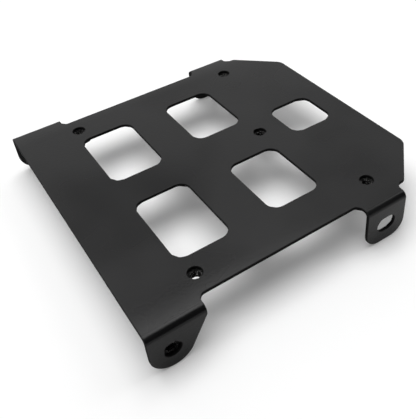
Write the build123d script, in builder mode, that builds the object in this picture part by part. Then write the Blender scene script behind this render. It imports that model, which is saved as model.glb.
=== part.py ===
from build123d import *
import os

# Battery support plate: one folded sheet with four ears and five windows, and seven weld nuts.
# X runs along the plate towards its chamfered end, Y across it, Z up.
# The origin lies midway between the four ears, on the surface that their feet stand on.

# Sheet and folds
sheet = 1.6
plate_height = 21.5
bend_radius_outside = 3.0

# Lengths along the plate, one after another from its straight end
left_margin = 27.1
window_length = 26.0
column_gap = 20.2
end_gap = 15.2
end_window_length = 23.1
right_margin = 12.4

# Widths across the plate, one after another from its centreline
half_rib = 9.1
window_width = 40.0
side_margin = 19.3
ear_step = 6.6
second_window_width = 36.0
end_window_width = 23.6
window_corner_radius = 5.2

# Outline
end_chamfer = 20.0
end_corner_radius = 6.0
notch_corner_radius = 3.0
relief_radius = 3.0

# Ears
left_ear_length = 25.1
right_ear_length = 21.7
right_ear_notch = 5.0
ear_hole_height = 9.6
lug_radius = 9.5
lug_shoulder = 1.0
lug_shoulder_radius = 2.5
right_ear_corner_radius = 7.5
slot_length = 9.8
slot_width = 7.0

# Weld nuts, and the wider holes that lead to them: M5 under the plate, M6 behind the left ears
plate_nut_hole = 6.2
plate_nut_bore = 4.2
plate_nut_across_flats = 10.0
plate_nut_height = 3.8
ear_nut_hole = 7.4
ear_nut_bore = 5.0
ear_nut_across_flats = 11.0
ear_nut_height = 5.0
bore_chamfer = 0.3
nut_corner_slope = 30
corner_nut_inset = 2.7
corner_nut_offset = 9.3
centre_nut_gap = 13.4

# The raw channel is folded a little deeper than the outlines that trim it
trim = 1.0

# Places along the plate
plate_length = left_margin + 2 * window_length + column_gap + end_gap + end_window_length + right_margin
left_end = -plate_length / 2
first_column = left_end + left_margin + window_length / 2
second_column = first_column + window_length + column_gap
end_window_left = second_column + window_length / 2 + end_gap
end_window_middle = end_window_left + end_window_length / 2
left_lug_middle = left_end + lug_radius
right_ear_end = plate_length / 2 - end_chamfer - right_ear_notch
right_ear_middle = right_ear_end - right_ear_length / 2

# Places across the plate and up its sides
window_outer = half_rib + window_width
recess = window_outer + side_margin
half_width = recess + ear_step
plate_underside = plate_height - sheet
fold_bottom = plate_height - bend_radius_outside

# Nut holes: the corner ones keep to the window edges, the centre one to the end window
left_nuts = left_end + left_margin + corner_nut_inset
right_nuts = end_window_left + corner_nut_inset
nut_row = window_outer + corner_nut_offset
plate_nut_places = {
    "plate_nut_left_near": (left_nuts, -nut_row),
    "plate_nut_left_far": (left_nuts, nut_row),
    "plate_nut_right_near": (right_nuts, -nut_row),
    "plate_nut_right_far": (right_nuts, nut_row),
    "plate_nut_centre": (end_window_left - centre_nut_gap, 0),
}

os.makedirs("parts", exist_ok=True)


def at_ear_root(corner):
    """True for an inside corner where the side of an ear meets the recessed edge of the plate."""
    ear_sides = (left_end + left_ear_length, right_ear_end - right_ear_length, right_ear_end)
    on_recess = abs(abs(corner.Y) - recess) < 0.01
    return on_recess and min(abs(corner.X - side) for side in ear_sides) < 0.01


# Left ear below its fold: a round lug whose slanted side runs up to a short shoulder
with BuildSketch() as left_lug:
    with Locations((left_lug_middle, lug_radius)):
        Circle(lug_radius)
    with Locations((left_end + left_ear_length / 2, fold_bottom - lug_shoulder / 2)):
        Rectangle(left_ear_length, lug_shoulder)
    make_hull()
    shoulder = left_lug.vertices().group_by(Axis.X)[-1].sort_by(Axis.Y)[0]
    fillet(shoulder, lug_shoulder_radius)

# Right ear below its fold: square, with both bottom corners rounded
with BuildSketch() as right_lug:
    with Locations((right_ear_middle, fold_bottom / 2)):
        Rectangle(right_ear_length, fold_bottom)
    fillet(right_lug.vertices().group_by(Axis.Y)[0], right_ear_corner_radius)

with BuildPart() as support_plate:
    # Folded channel: the flat top, two bends and a full skirt on each side
    with BuildSketch(Plane.YZ.offset(left_end)):
        with BuildLine():
            FilletPolyline(
                (-half_width, -trim),
                (-half_width, plate_height),
                (half_width, plate_height),
                (half_width, -trim),
                radius=bend_radius_outside,
            )
            offset(amount=sheet, side=Side.RIGHT)
        make_face()
    extrude(amount=plate_length)

    # Outline from above: recessed sides, a chamfered end, and a tab for each pair of ears
    with BuildSketch(Plane.XY.offset(-2 * trim)) as outline:
        Rectangle(plate_length, 2 * recess)
        chamfer(outline.vertices().group_by(Axis.X)[-1], end_chamfer)
        fillet(outline.vertices().group_by(Axis.X)[-1], end_corner_radius)
        fillet(outline.vertices().group_by(Axis.Y)[0].sort_by(Axis.X)[-1], notch_corner_radius)
        fillet(outline.vertices().group_by(Axis.Y)[-1].sort_by(Axis.X)[-1], notch_corner_radius)
        with Locations((left_end + left_ear_length / 2, 0)):
            Rectangle(left_ear_length, 2 * half_width)
        with Locations((right_ear_middle, 0)):
            Rectangle(right_ear_length, 2 * half_width)
        fillet(outline.vertices().filter_by(at_ear_root), relief_radius)
    extrude(amount=plate_height + 4 * trim, mode=Mode.INTERSECT)

    # Outline from the side: the plate with its folds, and both lugs below
    with BuildSketch(Plane.XZ.offset(-half_width - trim)):
        with Locations((0, (fold_bottom + plate_height) / 2)):
            Rectangle(plate_length, bend_radius_outside)
        add(left_lug.sketch)
        add(right_lug.sketch)
    extrude(amount=2 * (half_width + trim), mode=Mode.INTERSECT)

    # Windows
    with BuildSketch(Plane.XY.offset(plate_height)):
        for side in (-1, 1):
            with Locations((first_column, side * (window_outer - window_width / 2))):
                RectangleRounded(window_length, window_width, window_corner_radius)
            with Locations((second_column, side * (window_outer - second_window_width / 2))):
                RectangleRounded(window_length, second_window_width, window_corner_radius)
        with Locations((end_window_middle, 0)):
            RectangleRounded(end_window_length, end_window_width, window_corner_radius)
    extrude(amount=-sheet, mode=Mode.SUBTRACT)

    # Holes over the nuts, through the plate and through both left ears
    with Locations(Plane.XY.offset(plate_height)):
        with Locations(*plate_nut_places.values()):
            Hole(plate_nut_hole / 2, depth=sheet)
    with Locations(Plane.XZ.offset(half_width)):
        with Locations((left_lug_middle, ear_hole_height)):
            Hole(ear_nut_hole / 2, depth=2 * half_width)

    # Slots through both right ears
    with BuildSketch(Plane.XZ.offset(half_width)):
        with Locations((right_ear_middle, ear_hole_height)):
            SlotOverall(slot_length, slot_width)
    extrude(amount=-2 * half_width, mode=Mode.SUBTRACT)

support_plate.part.label = "support_plate"
export_step(support_plate.part, "parts/support_plate.step")


def weld_nut(seat, bore, across_flats, nut_height):
    """A hexagon nut lying flat on the hidden face of the sheet, its free corners chamfered."""
    corner_radius = across_flats / 3**0.5
    with BuildPart() as nut:
        with BuildSketch(seat):
            Circle(corner_radius)
        extrude(amount=nut_height)
        free_face = nut.faces().sort_by(Axis(seat.origin, seat.z_dir))[-1]
        corner = corner_radius - across_flats / 2
        chamfer(free_face.edges(), corner, angle=nut_corner_slope, reference=free_face)
        with BuildSketch(seat):
            RegularPolygon(across_flats / 2, 6, major_radius=False)
        extrude(amount=nut_height, mode=Mode.INTERSECT)
        with Locations(seat.offset(nut_height)):
            Hole(bore / 2, depth=nut_height)
        bore_rims = nut.edges().filter_by(GeomType.CIRCLE).group_by(SortBy.RADIUS)[0]
        chamfer(bore_rims, bore_chamfer)
    return nut.part


# Nuts under the plate
for name, (along, across) in plate_nut_places.items():
    seat = Plane((along, across, plate_underside), x_dir=(1, 0, 0), z_dir=(0, 0, -1))
    nut = weld_nut(seat, plate_nut_bore, plate_nut_across_flats, plate_nut_height)
    nut.label = name
    export_step(nut, f"parts/{name}.step")

# Nuts behind the left ears
for name, side in (("ear_nut_near", -1), ("ear_nut_far", 1)):
    inner_face = (left_lug_middle, side * (half_width - sheet), ear_hole_height)
    seat = Plane(inner_face, x_dir=(1, 0, 0), z_dir=(0, -side, 0))
    nut = weld_nut(seat, ear_nut_bore, ear_nut_across_flats, ear_nut_height)
    nut.label = name
    export_step(nut, f"parts/{name}.step")
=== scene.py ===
import math

import bpy
import numpy as np
from mathutils import Euler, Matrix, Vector
from mathutils.geometry import delaunay_2d_cdt


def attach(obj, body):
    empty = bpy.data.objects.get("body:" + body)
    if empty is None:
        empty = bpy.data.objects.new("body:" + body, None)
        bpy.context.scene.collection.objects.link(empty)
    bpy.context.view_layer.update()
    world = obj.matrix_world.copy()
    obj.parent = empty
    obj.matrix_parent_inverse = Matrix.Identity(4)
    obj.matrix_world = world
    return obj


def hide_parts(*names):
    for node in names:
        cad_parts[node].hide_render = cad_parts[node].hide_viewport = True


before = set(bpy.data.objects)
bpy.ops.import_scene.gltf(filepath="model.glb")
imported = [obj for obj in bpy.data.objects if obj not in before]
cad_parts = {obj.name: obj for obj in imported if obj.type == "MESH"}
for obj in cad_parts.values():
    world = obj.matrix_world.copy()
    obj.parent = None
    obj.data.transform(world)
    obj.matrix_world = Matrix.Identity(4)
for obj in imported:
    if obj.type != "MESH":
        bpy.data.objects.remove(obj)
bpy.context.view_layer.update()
print("frame loaded with", len(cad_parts), "nodes")

mm = 0.001  # sizes below are in millimetres, and meshes are in metres


def makePiece(name, points, normals, faceSets, material, marks):
    # points and normals are in rows of three.
    # each face set is an array of corner numbers, 3 or 4 to a row
    mesh = bpy.data.meshes.new(name)
    corners = np.concatenate([faces.ravel() for faces in faceSets]).astype(np.int32)
    sizes = np.concatenate([np.full(len(faces), faces.shape[1]) for faces in faceSets])
    starts = np.concatenate([[0], np.cumsum(sizes)[:-1]]).astype(np.int32)
    mesh.vertices.add(len(points))
    mesh.vertices.foreach_set("co", (points * mm).astype(np.float32).ravel())
    mesh.loops.add(len(corners))
    mesh.loops.foreach_set("vertex_index", corners)
    mesh.polygons.add(len(starts))
    mesh.polygons.foreach_set("loop_start", starts)
    for markName, values in marks.items():
        mark = mesh.attributes.new(markName, "FLOAT", "POINT")
        mark.data.foreach_set("value", values.astype(np.float32))
    mesh.materials.append(material)
    mesh.validate()
    mesh.update(calc_edges=True)
    mesh.polygons.foreach_set("use_smooth", np.ones(len(mesh.polygons), bool))
    if normals is not None:
        mesh.normals_split_custom_set_from_vertices(normals.astype(np.float32))
    piece = bpy.data.objects.new(name, mesh)
    bpy.context.scene.collection.objects.link(piece)
    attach(piece, "root")
    return piece


def ringFaces(count, across, first=0, closeAcross=False):
    # quads of a closed ring: count steps round, across points in each step's profile
    around = np.arange(count)[:, None]
    along = np.arange(across if closeAcross else across - 1)[None, :]
    nextAround = (around + 1) % count
    nextAlong = (along + 1) % across
    quads = [around * across + along, around * across + nextAlong,
             nextAround * across + nextAlong, nextAround * across + along]
    quads = [np.broadcast_to(corner, (count, along.shape[1])) for corner in quads]
    return first + np.stack(quads, -1).reshape(-1, 4)


def newGroup(name, inputs, outputs):
    group = bpy.data.node_groups.new(name, "ShaderNodeTree")
    for socketName, kind, value in inputs:
        socket = group.interface.new_socket(socketName, in_out="INPUT", socket_type=kind)
        if value is not None:
            socket.default_value = value
    for socketName, kind in outputs:
        group.interface.new_socket(socketName, in_out="OUTPUT", socket_type=kind)
    return group, group.nodes.new("NodeGroupInput"), group.nodes.new("NodeGroupOutput")


def noise(tree, vector, scale, detail, rough):
    node = tree.nodes.new("ShaderNodeTexNoise")
    node.noise_dimensions = "4D"
    node.inputs["Scale"].default_value = scale
    node.inputs["Detail"].default_value = detail
    node.inputs["Roughness"].default_value = rough
    tree.links.new(vector, node.inputs["Vector"])
    return node.outputs["Fac"]


def mapRange(tree, value, fromLow, fromHigh, toLow, toHigh):
    node = tree.nodes.new("ShaderNodeMapRange")
    ends = {"From Min": fromLow, "From Max": fromHigh, "To Min": toLow, "To Max": toHigh}
    for socketName, setting in ends.items():
        if isinstance(setting, (int, float)):
            node.inputs[socketName].default_value = setting
        else:
            tree.links.new(setting, node.inputs[socketName])
    tree.links.new(value, node.inputs["Value"])
    return node.outputs["Result"]


def combine(tree, operation, first, second=None):
    node = tree.nodes.new("ShaderNodeMath")
    node.operation = operation
    tree.links.new(first, node.inputs[0])
    if second is not None:
        tree.links.new(second, node.inputs[1])
    return node.outputs["Value"]


def mixColours(tree, share, first, second):
    # second is another node's output or a plain colour
    node = tree.nodes.new("ShaderNodeMix")
    node.data_type = "RGBA"
    tree.links.new(share, node.inputs["Factor"])
    tree.links.new(first, node.inputs["A"])
    if isinstance(second, tuple):
        node.inputs["B"].default_value = second
    else:
        tree.links.new(second, node.inputs["B"])
    return node.outputs["Result"]


def readMark(tree, name):
    node = tree.nodes.new("ShaderNodeAttribute")
    node.attribute_name = name
    return node.outputs["Fac"]


# each noise is its scale, detail and roughness; spans across the sheet and depths are in metres
coatRelief = dict(
    peel=(900, 1.5, 0.5), grain=(3200, 2.0, 0.6), drift=(18, 2.0, 0.5), driftSpan=(0.35, 0.6),
    foldSpan=(0.062, 0.072), crownDepth=0.0004, peelDepth=0.00004, grainDepth=0.00002,
)


def buildCoatGroup(s):
    # powder coat: a low orange peel and a finer grain in the relief, and a slow drift in tone and
    # gloss. it is dull on cut edges, where its colour carries painted shade, and the sheet draws
    # down a little before each fold
    group, source, target = newGroup(
        "powderCoatSurface",
        [("Position", "NodeSocketVector", None),
         ("Cut Edge", "NodeSocketFloat", 0.0),
         ("Peel", "NodeSocketFloat", 0.1),
         ("Grain", "NodeSocketFloat", 0.1),
         ("Crown", "NodeSocketFloat", 0.0),
         ("Dark", "NodeSocketColor", (0.01, 0.01, 0.01, 1)),
         ("Pale", "NodeSocketColor", (0.02, 0.02, 0.02, 1)),
         ("Edge Painted Shade", "NodeSocketColor", (0.001, 0.001, 0.001, 1)),
         ("Gloss Low", "NodeSocketFloat", 0.36),
         ("Gloss High", "NodeSocketFloat", 0.44),
         ("Edge Gloss", "NodeSocketFloat", 0.8)],
        [("Color", "NodeSocketColor"),
         ("Roughness", "NodeSocketFloat"),
         ("Normal", "NodeSocketVector")])
    given = source.outputs
    peel = noise(group, given["Position"], *s["peel"])  # lumps about 1 mm across
    grain = noise(group, given["Position"], *s["grain"])  # specks about 0.3 mm across
    drift = noise(group, given["Position"], *s["drift"])  # patches a few centimetres across

    shade = mapRange(group, drift, *s["driftSpan"], 0.0, 1.0)
    tone = mixColours(group, shade, given["Dark"], given["Pale"])
    # painted shade: the colour goes near black on the cut edges, standing in for the shade on the
    # sheet's cut walls
    tone = mixColours(group, given["Cut Edge"], tone, given["Edge Painted Shade"])
    group.links.new(tone, target.inputs["Color"])

    gloss = mapRange(group, drift, *s["driftSpan"], given["Gloss Low"], given["Gloss High"])
    gloss = mapRange(group, given["Cut Edge"], 0.0, 1.0, gloss, given["Edge Gloss"])
    group.links.new(gloss, target.inputs["Roughness"])

    # the last centimetre of the flat before a fold
    split = group.nodes.new("ShaderNodeSeparateXYZ")
    group.links.new(given["Position"], split.inputs["Vector"])
    side = combine(group, "ABSOLUTE", split.outputs["Y"])
    toFold = mapRange(group, side, *s["foldSpan"], 0.0, 1.0)
    drop = combine(group, "MULTIPLY", toFold, toFold)

    reliefs = ((drop, "Crown", s["crownDepth"], True), (peel, "Peel", s["peelDepth"], False),
               (grain, "Grain", s["grainDepth"], False))
    normal = None
    for height, strength, depth, sinks in reliefs:
        bump = group.nodes.new("ShaderNodeBump")
        bump.invert = sinks
        bump.inputs["Distance"].default_value = depth
        group.links.new(given[strength], bump.inputs["Strength"])
        group.links.new(height, bump.inputs["Height"])
        if normal is not None:
            group.links.new(normal, bump.inputs["Normal"])
        normal = bump.outputs["Normal"]
    group.links.new(normal, target.inputs["Normal"])
    return group


coatGroup = buildCoatGroup(coatRelief)

# the socket of the coat that takes each value of a look
coatSockets = dict(
    peel="Peel", grain="Grain", crown="Crown", dark="Dark", pale="Pale", edgePaintedShade="Edge Painted Shade",
    glossLow="Gloss Low", glossHigh="Gloss High", edgeGloss="Edge Gloss",
)


def newMaterial(name, specular):
    material = bpy.data.materials.new(name)
    material.use_nodes = True
    tree = material.node_tree
    shader = tree.nodes["Principled BSDF"]
    shader.inputs["Specular IOR Level"].default_value = specular
    return material, tree, shader


def newCoat(name, look):
    # a material whose roughness and relief are the coat's; its colour is linked by the caller
    material, tree, shader = newMaterial(name, look["specular"])
    coat = tree.nodes.new("ShaderNodeGroup")
    coat.node_tree = coatGroup
    place = tree.nodes.new("ShaderNodeTexCoord")
    tree.links.new(place.outputs["Object"], coat.inputs["Position"])
    for value, socketName in coatSockets.items():
        if value in look:
            coat.inputs[socketName].default_value = look[value]
    tree.links.new(coat.outputs["Roughness"], shader.inputs["Roughness"])
    tree.links.new(coat.outputs["Normal"], shader.inputs["Normal"])
    return material, tree, shader, coat, place


plateCoatLook = dict(
    peel=0.9, grain=0.6, crown=1.0, glossLow=0.22, glossHigh=0.34, edgeGloss=0.9, specular=0.17,
    dark=(0.0035, 0.0035, 0.0037, 1), pale=(0.0095, 0.0095, 0.0098, 1),
    # painted shade: the near-black colour given to the cut edges
    edgePaintedShade=(0.0006, 0.0006, 0.0006, 1),
)


def buildPlateCoat(look):
    material, tree, shader, coat, _ = newCoat("satinBlackPowderCoat", look)
    tree.links.new(readMark(tree, "cutEdge"), coat.inputs["Cut Edge"])
    tree.links.new(coat.outputs["Color"], shader.inputs["Base Color"])
    return material


nutCoatLook = dict(
    peel=0.2, grain=0.5, glossLow=0.40, glossHigh=0.50, specular=0.04,
    dark=(0.003, 0.003, 0.003, 1), pale=(0.005, 0.005, 0.005, 1),
    flecks=(1500, 3.0, 0.6), fleckSpan=(0.5, 0.62), fleckShare=0.8, steel=(0.30, 0.295, 0.29, 1),
)


def buildNutCoat(look):
    # black coat over steel, worn through in flecks on the crests of the thread
    material, tree, shader, coat, place = newCoat("coatedNutSteel", look)
    flecks = noise(tree, place.outputs["Object"], *look["flecks"])
    worn = mapRange(tree, flecks, *look["fleckSpan"], 0.0, look["fleckShare"])
    bare = combine(tree, "MULTIPLY", readMark(tree, "threadCrest"), worn)
    tone = mixColours(tree, bare, coat.outputs["Color"], look["steel"])
    tree.links.new(tone, shader.inputs["Base Color"])
    tree.links.new(bare, shader.inputs["Metallic"])
    return material


plateCoat = buildPlateCoat(plateCoatLook)
nutCoat = buildNutCoat(nutCoatLook)
print("materials made")


plateSizes = dict(
    sheet=1.6, height=21.5, bendOutside=3.0, edgeRound=0.4, bendSteps=16, edgeSteps=6,
    length=150.0, halfWidth=75.0, recess=68.4, reliefRound=3.0,
    chamfer=20.0, chamferRound=3.0, endRound=6.0,
    lugLength=25.1, lugRound=9.5, lugShoulder=17.5, lugShoulderRound=2.5,
    earLength=21.7, earNotch=5.0, earRound=7.5,
    earHoleHeight=9.6, earHole=7.4, slotLength=9.8, slotWidth=7.0,
    # windows: middle x, middle y, length, width
    windows=((-34.9, -29.1, 26.0, 40.0), (-34.9, 29.1, 26.0, 40.0), (11.3, -31.1, 26.0, 36.0),
             (11.3, 31.1, 26.0, 36.0), (51.05, 0.0, 23.1, 23.6)),
    windowRound=5.2,
    nutHoles=((-45.2, -58.4), (-45.2, 58.4), (42.2, -58.4), (42.2, 58.4), (26.1, 0.0)),
    nutHole=6.2,
)
middleRadius = plateSizes["bendOutside"] - plateSizes["sheet"] / 2
bendStart = plateSizes["halfWidth"] - plateSizes["bendOutside"]
bendLength = middleRadius * math.pi / 2
foldBottom = plateSizes["height"] - plateSizes["bendOutside"]


def acrossAt(height):
    # the flat sheet's distance from its centreline for a height on an ear
    return bendStart + bendLength + foldBottom - height


def foldSheet(across, depth):
    # the flat sheet wrapped round both bends: straight, then a quarter turn, then straight down.
    # across is the distance from the centreline along the middle of the sheet, and depth is the
    # height over it
    side = np.where(across < 0, -1.0, 1.0)
    run = np.abs(across)
    arc = np.clip((run - bendStart) / middleRadius, 0, math.pi / 2)
    down = np.clip(run - bendStart - bendLength, 0, None)
    y = side * (np.minimum(run, bendStart) + (middleRadius + depth) * np.sin(arc))
    z = foldBottom + (middleRadius + depth) * np.cos(arc) - down
    up = np.stack([np.zeros_like(arc), side * np.sin(arc), np.cos(arc)], -1)
    along = np.stack([np.zeros_like(arc), np.cos(arc), -side * np.sin(arc)], -1)
    return y, z, up, along


def roundedLoop(corners, rounds, step=7.5):
    # a closed line with each corner replaced by the arc tangent to both its sides, in steps of
    # so many degrees. returns its points and, at each, the unit normal to the left of travel,
    # where the sheet lies
    corners = np.array(corners, float)
    before = corners - np.roll(corners, 1, 0)
    before /= np.linalg.norm(before, axis=1, keepdims=True)
    after = np.roll(before, -1, 0)
    crossed = before[:, 0] * after[:, 1] - before[:, 1] * after[:, 0]
    turns = np.arctan2(crossed, (before * after).sum(1))
    points, normals = [], []
    for corner, way, turn, radius in zip(corners, before, turns, rounds):
        left = np.array([-way[1], way[0]])
        sign = math.copysign(1.0, turn)
        start = corner - way * radius * math.tan(abs(turn) / 2)
        count = max(2, math.ceil(abs(math.degrees(turn)) / step) + 1)
        angles = np.linspace(0, turn, count)[:, None]
        lefts = left * np.cos(angles) + np.array([-left[1], left[0]]) * np.sin(angles)
        points.append(start + sign * radius * (left - lefts))
        normals.append(lefts)
    points, normals = np.concatenate(points), np.concatenate(normals)
    apart = np.linalg.norm(points - np.roll(points, 1, 0), axis=1) > 1e-6
    return points[apart], normals[apart]


def holeLoop(x, across, length, width, radius):
    # clockwise, so that the sheet lies to the left
    low, high = across - width / 2, across + width / 2
    start, end = x - length / 2, x + length / 2
    return roundedLoop([(start, low), (start, high), (end, high), (end, low)], [radius] * 4)


def splitAtLevels(points, normals, levels):
    # adds a point wherever the loop crosses one of the levels, so that both sides of a bend
    # share rows
    closed = np.vstack([points, points[:1]])
    closedNormals = np.vstack([normals, normals[:1]])
    low, high = closed[:-1, 1][:, None], closed[1:, 1][:, None]
    with np.errstate(divide="ignore", invalid="ignore"):
        share = (levels[None, :] - low) / (high - low)
    index, level = np.nonzero((share > 1e-6) & (share < 1 - 1e-6))
    places = np.unique(np.concatenate([np.arange(len(points)), index + share[index, level]]))
    steps = np.arange(len(closed))
    newPoints = np.stack([np.interp(places, steps, closed[:, k]) for k in (0, 1)], -1)
    newNormals = np.stack([np.interp(places, steps, closedNormals[:, k]) for k in (0, 1)], -1)
    return newPoints, newNormals / np.linalg.norm(newNormals, axis=1, keepdims=True)


def plateLoops(s):
    left, right = -s["length"] / 2, s["length"] / 2
    foot, recess = acrossAt(0), s["recess"]
    lugRight = left + s["lugLength"]
    earRight = right - s["chamfer"] - s["earNotch"]
    earLeft = earRight - s["earLength"]

    # the lug's slanted side is tangent to its round, seen from the shoulder's corner
    reach = np.array([s["lugLength"] - s["lugRound"], s["lugShoulder"] - s["lugRound"]])
    toShoulder = math.atan2(reach[1], reach[0])
    slope = toShoulder - math.acos(s["lugRound"] / np.linalg.norm(reach)) + math.pi / 2
    lugCorner = acrossAt(s["lugShoulder"] - s["lugLength"] * math.tan(slope))

    # the far side's corners from left to right; the near side mirrors them
    side = [
        ((left, lugCorner), s["lugRound"]),
        ((lugRight, acrossAt(s["lugShoulder"])), s["lugShoulderRound"]),
        ((lugRight, recess), s["reliefRound"]),
        ((earLeft, recess), s["reliefRound"]),
        ((earLeft, foot), s["earRound"]),
        ((earRight, foot), s["earRound"]),
        ((earRight, recess), s["reliefRound"]),
        ((right - s["chamfer"], recess), s["chamferRound"]),
        ((right, recess - s["chamfer"]), s["endRound"]),
    ]
    corners = [(x, -y) for (x, y), _ in side] + [corner for corner, _ in reversed(side)]
    rounds = [r for _, r in side] + [r for _, r in reversed(side)]
    loops = [roundedLoop(corners, rounds)]

    for x, y, length, width in s["windows"]:
        loops.append(holeLoop(x, y, length, width, s["windowRound"]))
    for x, y in s["nutHoles"]:
        loops.append(holeLoop(x, y, s["nutHole"], s["nutHole"], s["nutHole"] / 2))
    lugMiddle, earMiddle = left + s["lugRound"], (earLeft + earRight) / 2
    for sign in (-1, 1):
        y = sign * acrossAt(s["earHoleHeight"])
        loops.append(holeLoop(lugMiddle, y, s["earHole"], s["earHole"], s["earHole"] / 2))
        loops.append(holeLoop(earMiddle, y, s["slotLength"], s["slotWidth"], s["slotWidth"] / 2))
    return loops


def insideSheet(places, starts, ends):
    # a place lies on the sheet where a ray from it crosses the loops an odd number of times
    x, y = places[:, 0][:, None], places[:, 1][:, None]
    x0, y0, x1, y1 = starts[:, 0], starts[:, 1], ends[:, 0], ends[:, 1]
    spans = (y0 > y) != (y1 > y)
    with np.errstate(divide="ignore", invalid="ignore"):
        crossing = x0 + (y - y0) * (x1 - x0) / (y1 - y0)
    return (spans & (x < crossing)).sum(1) % 2 == 1


def fillSheet(inner, edges, starts, ends):
    # triangles between the loops' inner lines, all turned the same way, and none over a hole
    made = delaunay_2d_cdt([Vector(p) for p in inner.tolist()], edges.tolist(), [], 0, 1e-7)
    assert len(made[0]) == len(inner), "the flat pattern's lines cross"
    triangles = np.array(made[2])
    corners = inner[triangles]
    area = np.cross(corners[:, 1] - corners[:, 0], corners[:, 2] - corners[:, 0])
    triangles = np.where(area[:, None] < 0, triangles[:, ::-1], triangles)
    return triangles[insideSheet(inner[triangles].mean(1), starts, ends)]


def buildPlate(s):
    # each loop carries a rounded edge profile, and both faces are filled between the loops'
    # inner lines. everything is drawn flat and then folded
    half, r, steps = s["sheet"] / 2, s["edgeRound"], s["edgeSteps"]
    levels = bendStart + bendLength * np.arange(s["bendSteps"] + 1) / s["bendSteps"]
    levels = np.concatenate([-levels, levels])
    turn = np.radians(np.concatenate([np.linspace(0, 90, steps), np.linspace(90, 180, steps)]))
    across = len(turn)
    inward = r * (1 - np.sin(turn))
    depth = np.where(np.arange(across) < steps, half - r, r - half) + r * np.cos(turn)
    points, normals, marks, quads = [], [], [], []
    inner, starts, ends, edges = [], [], [], []
    first = 0
    for loop, (line, lefts) in enumerate(plateLoops(s)):
        if loop == 0:
            line, lefts = splitAtLevels(line, lefts, levels)
        flat = line[:, None, :] + lefts[:, None, :] * inward[None, :, None]
        y, z, up, along = foldSheet(flat[..., 1], depth[None, :])
        points.append(np.stack([flat[..., 0], y, z], -1).reshape(-1, 3))
        outward = -(lefts[:, None, :1] * np.array([1.0, 0, 0]) + lefts[:, None, 1:] * along)
        facing = np.cos(turn)[:, None] * up + np.sin(turn)[:, None] * outward
        normals.append(facing.reshape(-1, 3))
        marks.append(np.broadcast_to(np.sin(turn), (len(line), across)).ravel())
        quads.append(ringFaces(len(line), across, first * across))
        number = first + np.arange(len(line))
        inner.append(flat[:, 0])
        starts.append(line)
        ends.append(np.roll(line, -1, 0))
        edges.append(np.stack([number, np.roll(number, -1)], -1))
        if loop == 0:
            for level in levels:  # one row across each ear at every step of its bend
                row = number[np.abs(line[:, 1] - level) < 1e-5]
                row = row[np.argsort(line[row, 0])]
                edges.append(row.reshape(-1, 2))
        first += len(line)
    triangles = fillSheet(np.concatenate(inner), np.concatenate(edges),
                          np.concatenate(starts), np.concatenate(ends))
    top, bottom = triangles * across, triangles[:, ::-1] * across + across - 1
    return (np.concatenate(points), np.concatenate(normals),
            [np.concatenate(quads), top, bottom], {"cutEdge": np.concatenate(marks)})


platePoints, plateNormals, plateFaces, plateMarks = buildPlate(plateSizes)
plate = makePiece("foldedPlate", platePoints, plateNormals, plateFaces, plateCoat,
                  plateMarks)
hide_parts("support_plate")
print("plate made,", len(plate.data.polygons), "faces")


plateNutSizes = dict(across=10.0, height=3.8, bore=4.2, major=5.0, pitch=0.8, countersink=0.3)
earNutSizes = dict(across=11.0, height=5.0, bore=5.0, major=6.0, pitch=1.0, countersink=0.3)

# shared by both nuts. the groove's half width at the crests and its flank are in pitches: they
# leave a crest of a quarter of the pitch and a root of an eighth
nutForm = dict(
    steps=120, perPitch=12, grooveHalf=0.375, flank=0.3125, sinkShine=0.3,
    cornerSlope=30, seatEase=0.12, sharpFrom=35,
)


def buildNut(s, form, seat, axisUp):
    # a ring of profiles: bore with its thread, free face, chamfered hexagon, and seat against
    # the sheet. the thread's radius follows height over pitch less the angle's share of a turn
    steps, ease = form["steps"], form["seatEase"]
    angle = np.arange(steps) / steps * 2 * math.pi
    rows = int(round(s["height"] / s["pitch"] * form["perPitch"]))
    height = np.linspace(0, s["height"], rows + 1)
    phase = (height[None, :] / s["pitch"] - angle[:, None] / (2 * math.pi)) % 1.0
    groove = np.clip((form["grooveHalf"] - np.abs(phase - 0.5)) / form["flank"], 0, 1)
    bore = s["bore"] / 2 + (s["major"] - s["bore"]) / 2 * groove
    sink = s["bore"] / 2 + s["countersink"] - np.minimum(height, s["height"] - height)
    radius = np.maximum(bore, sink[None, :])
    crest = np.where(radius > bore + 1e-9, form["sinkShine"], 1 - groove)

    flat = s["across"] / 2
    hexagon = flat / np.cos(np.mod(angle, math.pi / 3) - math.pi / 6)
    top = s["height"] - (hexagon - flat) * math.tan(math.radians(form["cornerSlope"]))
    outerRadii = np.stack([np.full(steps, flat), hexagon, hexagon, hexagon - ease], -1)
    outerHeights = np.stack([np.full(steps, s["height"]), top, np.full(steps, ease),
                             np.zeros(steps)], -1)
    radii = np.concatenate([radius, outerRadii], 1)
    heights = np.concatenate([np.broadcast_to(height, radius.shape), outerHeights], 1)
    crest = np.concatenate([crest, np.zeros_like(outerRadii)], 1)

    axisX, axisUp = np.array([1.0, 0, 0]), np.array(axisUp, float)
    axisY = np.cross(axisUp, axisX)
    points = (np.array(seat) + (radii * np.cos(angle)[:, None])[..., None] * axisX
              + (radii * np.sin(angle)[:, None])[..., None] * axisY
              + heights[..., None] * axisUp)
    faces = ringFaces(steps, radii.shape[1], closeAcross=True)
    return points.reshape(-1, 3), faces, {"threadCrest": crest.ravel()}


def placeNut(node, s, seat, axisUp):
    points, faces, marks = buildNut(s, nutForm, seat, axisUp)
    nut = makePiece(node + "_threaded", points, None, [faces], nutCoat, marks)
    nut.data.set_sharp_from_angle(angle=math.radians(nutForm["sharpFrom"]))
    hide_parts(node)


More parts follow.
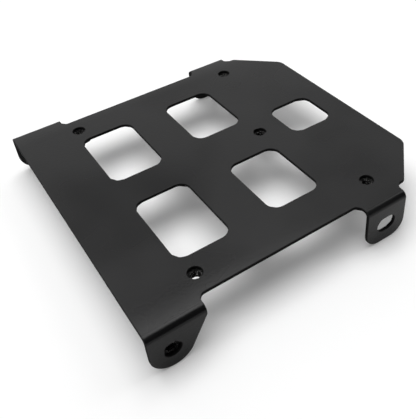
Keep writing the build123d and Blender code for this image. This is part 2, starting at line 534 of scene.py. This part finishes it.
plateUnderside = plateSizes["height"] - plateSizes["sheet"]
plateNutNames = ("plate_nut_left_near", "plate_nut_left_far", "plate_nut_right_near",
                 "plate_nut_right_far", "plate_nut_centre")
for node, (x, y) in zip(plateNutNames, plateSizes["nutHoles"]):
    placeNut(node, plateNutSizes, (x, y, plateUnderside), (0, 0, -1))
for node, side in (("ear_nut_near", -1), ("ear_nut_far", 1)):
    seat = (plateSizes["lugRound"] - plateSizes["length"] / 2,
            side * (plateSizes["halfWidth"] - plateSizes["sheet"]), plateSizes["earHoleHeight"])
    placeNut(node, earNutSizes, seat, (0, -side, 0))
print("nuts made")


# metres from here on
studio = dict(
    floorTone=(0.93, 0.93, 0.93, 1), floorRough=0.9, floorSpecular=0.1, floorSize=6.0,
    whiteBeyond=(0.35, 0.85), shadeLift=0.16,
    backdrop=1.0, skyFill=0.15, horizon=1.2, horizonTop=(0.12, 0.28),
    boxPlace=(-0.153, 0.153, 1.231), boxSize=(1.13, 1.13), boxPower=15.0,
    wallWay=(0.75, 0.66, 0.0), wallSide=(0.15, 0.5), wallTop=(0.6, 0.8), wallGlow=1.0,
    farPlace=(0.36, 0.43, 1.06), farSize=(0.34, 0.34), farPower=1.3,
    sidePlace=(0.776, -0.208, 0.958), sideSize=(0.31, 0.31), sidePower=1.07,
    flagTone=(0.004, 0.004, 0.004, 1), flagLow=(-0.8, -0.9, 0.0), flagHigh=(3.0, -0.9, 4.5),
)


def addLamp(name, place, size, power):
    data = bpy.data.lights.new(name, "AREA")
    data.shape = "RECTANGLE"
    data.size, data.size_y = size
    data.energy = power
    lamp = bpy.data.objects.new(name, data)
    bpy.context.scene.collection.objects.link(lamp)
    lamp.location = place
    lamp.rotation_euler = (-Vector(place)).to_track_quat("-Z", "Y").to_euler()


def addSheet(name, corners, material):
    mesh = bpy.data.meshes.new(name)
    mesh.from_pydata(corners, [], [(0, 1, 2, 3)])
    mesh.materials.append(material)
    sheet = bpy.data.objects.new(name, mesh)
    bpy.context.scene.collection.objects.link(sheet)
    return sheet


def buildFloor(s):
    material, tree, shader = newMaterial("palePaper", s["floorSpecular"])
    shader.inputs["Base Color"].default_value = s["floorTone"]
    shader.inputs["Roughness"].default_value = s["floorRough"]
    # white, seen by the camera only: a little near the object, so that shade stays pale, and all
    # of it far off
    glow = tree.nodes.new("ShaderNodeEmission")
    place = tree.nodes.new("ShaderNodeTexCoord")
    apart = tree.nodes.new("ShaderNodeVectorMath")
    apart.operation = "LENGTH"
    tree.links.new(place.outputs["Object"], apart.inputs[0])
    lift = mapRange(tree, apart.outputs["Value"], *s["whiteBeyond"], s["shadeLift"], 1.0)
    path = tree.nodes.new("ShaderNodeLightPath")
    blend = tree.nodes.new("ShaderNodeMixShader")
    share = combine(tree, "MULTIPLY", path.outputs["Is Camera Ray"], lift)
    tree.links.new(share, blend.inputs["Fac"])
    tree.links.new(shader.outputs["BSDF"], blend.inputs[1])
    tree.links.new(glow.outputs["Emission"], blend.inputs[2])
    tree.links.new(blend.outputs["Shader"], tree.nodes["Material Output"].inputs["Surface"])
    d, front = s["floorSize"], s["flagLow"][1]  # the paper ends at the black cloth
    addSheet("floor", [(-d, front, 0), (d, front, 0), (d, d, 0), (-d, d, 0)], material)


def buildFlag(s):
    # a black cloth behind the camera, which the bends and the cut edges mirror
    material, _, shader = newMaterial("blackFlag", 0.0)
    shader.inputs["Base Color"].default_value = s["flagTone"]
    shader.inputs["Roughness"].default_value = 1.0
    (x0, y0, z0), (x1, y1, z1) = s["flagLow"], s["flagHigh"]
    flag = addSheet("flag", [(x0, y0, z0), (x1, y0, z0), (x1, y1, z1), (x0, y1, z1)], material)
    flag.visible_camera = False


def buildWorld(s):
    world = bpy.data.worlds.new("studioWorld")
    world.use_nodes = True
    tree = world.node_tree
    sky = tree.nodes["Background"]
    sky.inputs["Color"].default_value = (1, 1, 1, 1)
    place = tree.nodes.new("ShaderNodeTexCoord")
    split = tree.nodes.new("ShaderNodeSeparateXYZ")
    tree.links.new(place.outputs["Generated"], split.inputs["Vector"])
    height = split.outputs["Z"]
    light = mapRange(tree, height, *s["horizonTop"], s["horizon"], s["skyFill"])

    # a pale wall stands behind the object on the right
    towards = tree.nodes.new("ShaderNodeVectorMath")
    towards.operation = "DOT_PRODUCT"
    towards.inputs[1].default_value = s["wallWay"]
    tree.links.new(place.outputs["Generated"], towards.inputs[0])
    wall = combine(tree, "MULTIPLY",
                   mapRange(tree, towards.outputs["Value"], *s["wallSide"], 0.0, 1.0),
                   mapRange(tree, height, *s["wallTop"], 1.0, 0.0))
    light = mapRange(tree, wall, 0.0, 1.0, light, s["wallGlow"])

    # the camera, mirrors and glass see the plain backdrop instead
    path = tree.nodes.new("ShaderNodeLightPath")
    seen = path.outputs["Is Camera Ray"]
    for name in ("Is Glossy Ray", "Is Transmission Ray"):
        seen = combine(tree, "MAXIMUM", seen, path.outputs[name])
    strength = mapRange(tree, seen, 0.0, 1.0, light, s["backdrop"])
    tree.links.new(strength, sky.inputs["Strength"])
    bpy.context.scene.world = world


buildFloor(studio)
buildFlag(studio)
buildWorld(studio)
addLamp("softBox", studio["boxPlace"], studio["boxSize"], studio["boxPower"])
addLamp("farBox", studio["farPlace"], studio["farSize"], studio["farPower"])
addLamp("sideBox", studio["sidePlace"], studio["sideSize"], studio["sidePower"])
print("studio made")


cameraValues = dict(
    place=(-0.107266, -0.203105, 0.198969), turn=(51.6344, 3.4303, -34.0444),
    focal=52.5636, sensor=36.0, shift=(-0.08757, -0.12866), clip=(0.01, 50.0),
)


def buildCamera(s):
    data = bpy.data.cameras.new("photoCamera")
    data.sensor_width = s["sensor"]
    data.lens = s["focal"]
    # the photograph is a crop, so its middle isn't the lens's
    data.shift_x, data.shift_y = s["shift"]
    data.clip_start, data.clip_end = s["clip"]
    camera = bpy.data.objects.new("photoCamera", data)
    bpy.context.scene.collection.objects.link(camera)
    camera.location = s["place"]
    camera.rotation_euler = Euler([math.radians(a) for a in s["turn"]])
    bpy.context.scene.camera = camera


buildCamera(cameraValues)
bpy.context.scene.view_settings.view_transform = "Standard"
